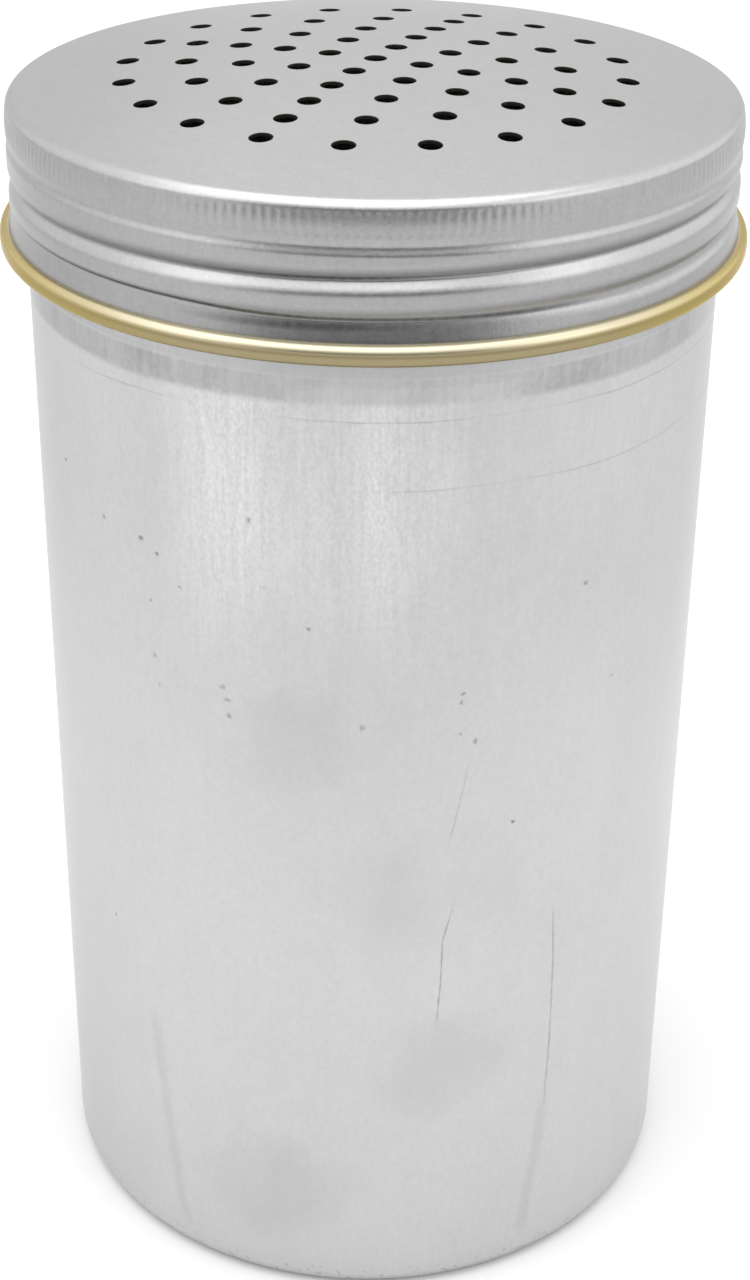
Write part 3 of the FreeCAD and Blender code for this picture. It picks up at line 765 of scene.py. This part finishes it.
def makeLid():
    parts = Patchwork()
    sheet = lidSizes["sheet"]
    azimuth = np.arange(around) * 360 / around
    # the corner, an arc from the dome's end to the band's top
    lean = math.radians(lidSizes["bandTopLean"])
    arc = np.linspace(math.pi / 2 - domeAngle, lean, lidSizes["cornerPoints"])[:, None]
    corner = lidSizes["cornerRadius"]
    parts.grid(turn(cornerOut + corner * np.cos(arc), cornerUp + corner * np.sin(arc)), True)
    inner = corner - sheet
    innerCorner = turn(cornerOut + inner * np.cos(arc), cornerUp + inner * np.sin(arc))
    parts.grid(innerCorner, False, 1.0)

    # the knurled band, with four points to a knurl
    bandTop = cornerUp + corner * math.sin(arc[-1, 0])
    top, foot, fade = lidSizes["knurlTop"], lidSizes["knurlFoot"], lidSizes["knurlFade"]
    levels = stepsDown((top, top - fade, 3), (top - fade, foot + fade, 4), (foot + fade, foot, 3))
    fine = len(knurlShares) * lidSizes["knurls"]
    strength = smooth(levels, foot, foot + fade) * (1 - smooth(levels, top - fade, top))
    knurl = lidSizes["knurlDepth"] * strength * np.tile(knurlShares, lidSizes["knurls"])
    band = turn(bandRadiusAt(levels) - knurl, levels, fine)
    parts.grid(band, True)

    # the rest of the side, down to the hem
    between = turn(bandRadiusAt(np.array([[bandTop]])), np.array([[bandTop]]))
    stepZone = hemLevel + lidSizes["skirtTop"] + lidSizes["skirtRise"] + 0.15
    lower = stepsDown((foot, foot - 0.5, 4), (foot - 0.5, stepZone, 62),
                      (stepZone, stepZone - 1.2, 18), (stepZone - 1.2, hemLevel, 14))
    side = turn(sideRadius(lower, azimuth), lower + 0 * azimuth)
    below = turn(bandRadiusAt(np.array([[foot]])), np.array([[foot]]))
    side[0] = below[0]
    # the side's zone carries its painted shade
    parts.grid(side, True, -threadDepthAt(lower, azimuth)[1].ravel())
    addStrip(parts, between[0], band[0], True)
    addStrip(parts, side[0], band[-1], False)

    # the inside, one sheet further in, and the face that meets the hem
    innerTop = cornerUp + inner * math.sin(arc[-1, 0])
    innerLevels = np.concatenate([stepsDown((innerTop, foot, 5)), lower[1:]])
    outer = np.where(innerLevels > foot, bandRadiusAt(innerLevels), sideRadius(innerLevels, azimuth))
    slope = np.gradient(outer, innerLevels[:, 0], axis=0)
    through = outer - sheet * np.sqrt(1 + slope ** 2)
    insideRows = turn(through, innerLevels + 0 * azimuth)
    insideRows[0] = innerCorner[-1]
    parts.grid(insideRows, False, 1.0)
    parts.grid(np.stack([side[-1], insideRows[-1]]), True)
    addDome(parts, sheet, turn(domeEdge, 0.0), innerCorner)
    return parts.build("lid")


def addStrip(parts, coarse, fine, down):
    # joins a ring to a ring with four times its points by a fan of triangles
    count, ratio = len(coarse), len(fine) // len(coarse)
    here = np.arange(count)
    after = (here + 1) % count
    near = [(here * ratio + i) % len(fine) + count for i in range(ratio + 1)]
    half = ratio // 2
    fans = [[here, near[i], near[i + 1]] for i in range(half)]
    fans += [[here, near[half], after]]
    fans += [[after, near[i], near[i + 1]] for i in range(half, ratio)]
    faces = np.concatenate([np.stack(fan, -1) for fan in fans])
    parts.add(np.concatenate([coarse, fine]), faces if down else faces[:, ::-1])


def addDome(parts, sheet, edge, innerCorner):
    # the perforated dome: points in rings round each hole and in a hexagonal net between them,
    # joined by Delaunay's rule, lifted onto the ball, once for the outside and once for the inside
    holes = holeCentres()
    radius, rounding = holeSizes["radius"], holeSizes["edgeRound"]
    count = holeSizes["points"]
    spread = np.arange(count) * 2 * np.pi / count
    circle = np.stack([np.cos(spread), np.sin(spread)], -1)
    mouths = [holes[:, None] + circle * r for r in (radius + rounding, radius + 2 * rounding)]
    outerCircle = edge.reshape(-1, 3)[:, :2]
    pitch = holeSizes["netPitch"]
    rowPitch = pitch * math.sqrt(3) / 2
    rows = int(domeEdge / rowPitch) + 1
    down, across = np.mgrid[-rows:rows + 1, -rows:rows + 1]
    net = np.stack([(across + 0.5 * (down % 2)) * pitch, down * rowPitch], -1).reshape(-1, 2)
    net = net[np.hypot(*net.T) < domeEdge - holeSizes["netInset"]]
    clear = np.linalg.norm(net[:, None] - holes, axis=-1).min(1) > radius + holeSizes["netClear"]
    rim = outerCircle * (domeEdge - holeSizes["rimInset"]) / domeEdge
    rings = [mouth.reshape(-1, 2) for mouth in mouths]
    flat = np.concatenate(rings + [net[clear], rim, outerCircle])
    found = delaunay_2d_cdt([Vector(p) for p in flat], [], [], 0, 1e-7)
    triangles = np.array(found[2])
    flat = np.array([tuple(p) for p in found[0]])
    middle = flat[triangles].mean(1)
    inHole = np.linalg.norm(middle[:, None] - holes, axis=-1).min(1) < radius + rounding * 0.9
    triangles = triangles[~inHole]
    edges = flat[triangles]
    area = np.cross(edges[:, 1] - edges[:, 0], edges[:, 2] - edges[:, 0])
    triangles = np.where(area[:, None] > 0, triangles, triangles[:, ::-1])
    top = np.column_stack([flat, domeHeight(flat)])
    bottom = np.column_stack([flat, domeHeight(flat, sheet)])
    parts.add(top, triangles)
    parts.add(bottom, triangles[:, ::-1], 1.0)
    # the inner dome's edge to the inner corner
    innerEdge = np.column_stack([outerCircle, domeHeight(outerCircle, sheet)])
    parts.grid(np.stack([innerEdge, innerCorner[0]]), False, 1.0)
    # each hole's wall: the punched edge rolls over, then goes straight down
    bend = np.linspace(0, math.pi / 2, 5)[:, None, None, None]
    out = radius + rounding * (1 - np.sin(bend))
    ring = holes[:, None] + circle * out
    start = holes[:, None] + circle * (radius + rounding)
    height = domeHeight(start) - rounding * (1 - np.cos(bend[..., 0]))
    roll = np.concatenate([ring, height[..., None]], -1)
    low = domeHeight(start, sheet)
    wall = np.concatenate([roll, [np.dstack([ring[-1], low])], [np.dstack([start, low])]])
    # the hole walls get zone 2, painted nearly black as painted shade
    for hole in range(len(holes)):
        parts.grid(wall[:, hole], True, 2.0)


# The hem

hemSizes = {
    "sheet": 0.4,
    "gap": 0.02,
    "trim": 0.3,  # the curl's lower end is this much above the solid's
    "arcPoints": 16,
}


def makeHem():
    # an oval curl: out from the skirt, round below, up outside and back over to the skirt
    sheet = hemSizes["sheet"]
    inside, outside = lidLowInside, hemHigh[0]
    half = (outside - inside) / 2
    centre = inside + half
    low, high = hemLow[2] + hemSizes["trim"] + half, hemHigh[2] - half
    flared = inside + sheet
    lip = skirtWidest + hemSizes["gap"]
    steps = hemSizes["arcPoints"]

    def arc(level, radius, start, end):
        angle = np.radians(np.linspace(start, end, steps))
        return np.stack([centre + radius * np.cos(angle), level + radius * np.sin(angle)], -1)

    thin = half - sheet
    lipOut = math.degrees(math.acos((lip - centre) / half))
    lipIn = math.degrees(math.acos((lip - centre) / thin))
    profile = np.concatenate([
        [[inside, hemLevel]],
        arc(low, half, 180, 360),
        arc(high, half, 0, lipOut),
        arc(high, thin, lipIn, 0),
        arc(low, thin, 360, 180),
        [[flared, hemLevel]],
        [[inside, hemLevel]],
    ])
    parts = Patchwork()
    parts.grid(turn(profile[:, :1], profile[:, 1:]))
    return parts.build("hem")


# The can

canSizes = {
    "radius": 40.0,
    "wall": 0.8,
    "baseWall": 1.0,
    "baseCorner": 2.5,
    "standWidth": 5.0,
    "panelRise": 0.8,
    "panelSlope": 2.0,
    "neckHeight": 14.2,
    "neckStep": 0.2,
    "shoulderRise": 0.8,
    "rimWidth": 1.8,
    "rimDepth": 1.8,
    "threadTall": 0.9,
    "threadHalf": 1.2,
    "threadTurns": 1.5,
    "threadLift": 1.55,
    "threadFade": 20.0,
    # rows of points along each stretch
    "cornerRows": 12,
    "wallRows": 84,
    "stepRows": 6,
    "neckRows": 48,
    "rimRows": 14,
    "innerRows": 9,
}


def makeCan():
    parts = Patchwork()
    size = canSizes
    radius, wall = size["radius"], size["wall"]
    inside = radius - wall
    standInside = radius - size["baseCorner"] - size["standWidth"]
    panel = standInside - size["panelSlope"]
    neck = radius - size["neckStep"]
    neckInside = neck - wall
    shoulder = mouthHeight - size["neckHeight"]
    neckFoot = shoulder + size["shoulderRise"]
    corner = size["baseCorner"]
    azimuth = np.arange(around) * 360 / around

    def row(*pairs):
        # rows of (radius, height), each a full ring
        out = np.array(pairs, float)
        return turn(out[:, :1], out[:, 1:])

    slope = np.linspace(0, 1, size["innerRows"])[:, None]
    rise = size["panelRise"] * (1 - smooth(slope, 0, 1))
    base = [row((0, size["panelRise"]), (panel * 0.5, size["panelRise"])),
            turn(panel + slope * size["panelSlope"], rise),
            row((radius - corner - 1.0, 0))]
    bend = np.radians(np.linspace(-90, 0, size["cornerRows"]))[:, None]
    base.append(turn(radius - corner + corner * np.cos(bend), corner + corner * np.sin(bend)))
    levels = np.linspace(corner, shoulder, size["wallRows"])[1:, None]
    base.append(turn(radius + 0 * levels, levels))
    step = np.linspace(shoulder, neckFoot, size["stepRows"])[1:, None]
    base.append(turn(radius - size["neckStep"] * smooth(step, shoulder, neckFoot), step))
    neckRows = np.linspace(neckFoot, mouthHeight - 1.0, size["neckRows"])[1:, None]
    threadStartUp = hemLevel + lidSizes["grooveFoot"] + size["threadLift"]
    last = threadStart + 360 * size["threadTurns"]
    crest = np.zeros((len(neckRows), around))
    fade = size["threadFade"]
    for lap in range(3):
        along = azimuth + 360 * lap
        middle = threadStartUp + threadPitch * (along - threadStart) / 360
        ridge = hump((neckRows - middle) / size["threadHalf"])
        begun = smooth(along, threadStart - fade, threadStart)
        ended = smooth(along, last, last + fade)
        crest = np.maximum(crest, ridge * begun * (1 - ended))
    base.append(turn(neck + size["threadTall"] * crest, neckRows + 0 * azimuth))
    # the curled rim: a rounded bead that turns inwards
    rimHalf = size["rimWidth"] / 2
    over = np.radians(np.linspace(0, 180, size["rimRows"]))[:, None]
    rimUp = mouthHeight - rimHalf
    base.append(turn(neck - rimHalf + rimHalf * np.cos(over), rimUp + rimHalf * np.sin(over)))
    under = np.radians(np.linspace(180, 270, size["stepRows"]))[1:, None]
    base.append(turn(neck - rimHalf + rimHalf * np.cos(under), rimUp + rimHalf * np.sin(under)))
    base.append(row((neckInside, mouthHeight - size["rimDepth"] - 0.1), (neckInside, neckFoot),
                    (inside, shoulder), (inside, shoulder * 0.66), (inside, shoulder * 0.33)))
    innerCorner = corner - wall
    bend = np.radians(np.linspace(0, -90, size["innerRows"]))[:, None]
    floor = size["baseWall"]
    base.append(turn(inside - innerCorner + innerCorner * np.cos(bend),
                     floor + innerCorner + innerCorner * np.sin(bend)))
    base.append(turn(panel + slope[::-1] * size["panelSlope"], rise[::-1] + floor))
    base.append(row((panel * 0.5, size["panelRise"] + floor), (0, size["panelRise"] + floor)))
    parts.grid(np.concatenate([rows.reshape(-1, around, 3) for rows in base]))
    return parts.build("can")


# The sealing ring

sealSizes = {
    "width": 4.4,
    "round": 0.35,
}


def makeSeal():
    # a flat ring with rounded edges
    outside, low, high = sealHigh[0], sealLow[2], sealHigh[2]
    inside = outside - sealSizes["width"]
    r = sealSizes["round"]
    corners = [(outside - r, low + r, -90), (outside - r, high - r, 0),
               (inside + r, high - r, 90), (inside + r, low + r, 180)]
    rows = []
    for out, up, start in corners:
        angle = np.radians(np.linspace(start, start + 90, 5))
        rows.append(np.stack([out + r * np.cos(angle), up + r * np.sin(angle)], -1))
    profile = np.concatenate(rows + [rows[0][:1]])
    parts = Patchwork()
    parts.grid(turn(profile[:, :1], profile[:, 1:]))
    return parts.build("seal")


dress(makeLid(), lidAluminium(), "lid", "lid_aluminium", "lid_shell")
dress(makeHem(), goldLacquer(), "lid", "gold_lacquer", "lid_hem")
dress(makeCan(), canAluminium(), "can", "can_aluminium", "can_body")
dress(makeSeal(), sealFoam(), "seal", "seal_foam", "sealing_ring")
print("pieces made")


# The stage: a pale floor, soft light and the camera

stageSizes = {
    "floorHalf": 4.0,
    "floorColour": (0.605, 0.605, 0.605, 1),
    "matt": 0.9,
    "worldStops": [(0.0, 0.55), (0.12, 0.60), (0.30, 0.70), (0.55, 0.90), (1.0, 1.0)],
    "worldSides": 0.60,  # how much brighter it is to the left and right
    "worldLeft": 0.30,  # how much of that is missing on the left
    "windows": 0.8,  # two soft windows, to the left and right in front
    # where a window fades in and out: sideways, upwards, and towards the back
    "windowAcross": (0.56, 0.70, 0.86, 0.95),
    "windowUp": (0.25, 0.38, 0.52, 0.68),
    "windowDepth": (-0.1, -0.35),
    "worldStrength": 1.58,
    "keyPlace": (-0.10, -0.25, 1.10),
    "keySize": 1.42,
    "keyPower": 10.4,
    "cardFar": 0.95,
    "cardHigh": 0.62,
    "cardFade": 0.22,  # the card's soft upper edge
    "cardSpan": 96.0,
    "cardSideFade": 25.0,
    "cardColumns": 33,
    "cardRows": 9,
    "cardColour": (0.11, 0.11, 0.11, 1),
}


def makeFloor():
    half = stageSizes["floorHalf"]
    mesh = bpy.data.meshes.new("floor")
    corners = [(-half, -half, 0), (half, -half, 0), (half, half, 0), (-half, half, 0)]
    mesh.from_pydata(corners, [], [(0, 1, 2, 3)])
    floor = bpy.data.objects.new("floor", mesh)
    bpy.context.scene.collection.objects.link(floor)
    look = newMaterial("floor_paper")
    mesh.materials.append(look.metal(stageSizes["floorColour"], stageSizes["matt"], metallic=0.0))


def makeWorld():
    world = bpy.data.worlds.new("studio")
    bpy.context.scene.world = world
    look = Finish(world)
    across, depth, up = look.axes(look.node("ShaderNodeTexCoord", output="Generated"))
    grey = look.ramp(stageSizes["worldStops"], up)
    aside = look.soft(abs(across), 0.45, 0.8) * look.soft(up, -0.05, 0.08) * (1 - up * 0.9)
    aside = aside * (1 - look.soft(across * -1, 0, 0.5) * stageSizes["worldLeft"])
    window = look.soft(depth, *stageSizes["windowDepth"])
    for way, name in ((abs(across), "windowAcross"), (up, "windowUp")):
        inStart, inEnd, outStart, outEnd = stageSizes[name]
        window = window * look.soft(way, inStart, inEnd) * (1 - look.soft(way, outStart, outEnd))
    grey = grey + aside * stageSizes["worldSides"] + window * stageSizes["windows"]
    inputs = {"Color": grey, "Strength": stageSizes["worldStrength"]}
    back = look.node("ShaderNodeBackground", {}, inputs)
    look.node("ShaderNodeOutputWorld", {}, {"Surface": back})


def makeKeyLight():
    data = bpy.data.lights.new("softbox", "AREA")
    data.shape = "SQUARE"
    data.size = stageSizes["keySize"]
    data.energy = stageSizes["keyPower"]
    key = bpy.data.objects.new("softbox", data)
    key.location = stageSizes["keyPlace"]
    aim = Vector((0, 0, lidTop * mm)) - key.location
    key.rotation_euler = aim.to_track_quat("-Z", "Y").to_euler()
    bpy.context.scene.collection.objects.link(key)


def makeCard():
    # a dark card in front with soft edges, seen by reflections alone, like a dim room
    # beyond the table
    span = math.radians(stageSizes["cardSpan"])
    columns, rows = stageSizes["cardColumns"], stageSizes["cardRows"]
    azimuth = np.linspace(-math.pi / 2 - span / 2, -math.pi / 2 + span / 2, columns)
    level = np.linspace(0, stageSizes["cardHigh"], rows)
    u, v = np.meshgrid(azimuth, level)
    far = stageSizes["cardFar"]
    points = np.stack([far * np.cos(u), far * np.sin(u), v], -1).reshape(-1, 3)
    first = (np.arange(rows - 1)[:, None] * columns + np.arange(columns - 1)).ravel()
    faces = np.stack([first, first + 1, first + columns + 1, first + columns], -1)
    mesh = bpy.data.meshes.new("card")
    mesh.from_pydata(points.tolist(), [], faces.tolist())
    card = bpy.data.objects.new("card", mesh)
    bpy.context.scene.collection.objects.link(card)
    look = newMaterial("card_dark")
    across, front, up = look.axes(look.place((1, 1, 1)))
    side = abs(across.math("ARCTAN2", front * -1)) * (180 / math.pi)
    half, top = stageSizes["cardSpan"] / 2, stageSizes["cardHigh"]
    cover = 1 - look.soft(side, half - stageSizes["cardSideFade"], half)
    cover = cover * (1 - look.soft(up, top - stageSizes["cardFade"], top))
    colour, matt = stageSizes["cardColour"], stageSizes["matt"]
    mesh.materials.append(look.metal(colour, matt, metallic=0.0, Alpha=cover))
    for flag in ("visible_camera", "visible_diffuse", "visible_shadow", "visible_transmission"):
        setattr(card, flag, False)


cameraSizes = {
    "place": (0, -259.77, 215.73),
    "pitch": -28.89,
    "yaw": -0.155,
    "roll": 0.669,
    "lens": 65.30,
    "sensor": 36.0,
}


def makeCamera():
    data = bpy.data.cameras.new("camera")
    data.sensor_width = cameraSizes["sensor"]
    data.lens = cameraSizes["lens"]
    data.clip_start = 0.01
    camera = bpy.data.objects.new("camera", data)
    turnAbout = [Matrix.Rotation(math.radians(angle), 4, axis) for angle, axis in (
        (cameraSizes["yaw"], "Z"), (90 + cameraSizes["pitch"], "X"), (cameraSizes["roll"], "Z"))]
    place = Matrix.Translation(Vector(cameraSizes["place"]) * mm)
    camera.matrix_world = place @ turnAbout[0] @ turnAbout[1] @ turnAbout[2]
    bpy.context.scene.collection.objects.link(camera)
    bpy.context.scene.camera = camera


makeFloor()
makeWorld()
makeKeyLight()
makeCard()
makeCamera()
bpy.context.scene.view_settings.view_transform = "Standard"
print("stage made")
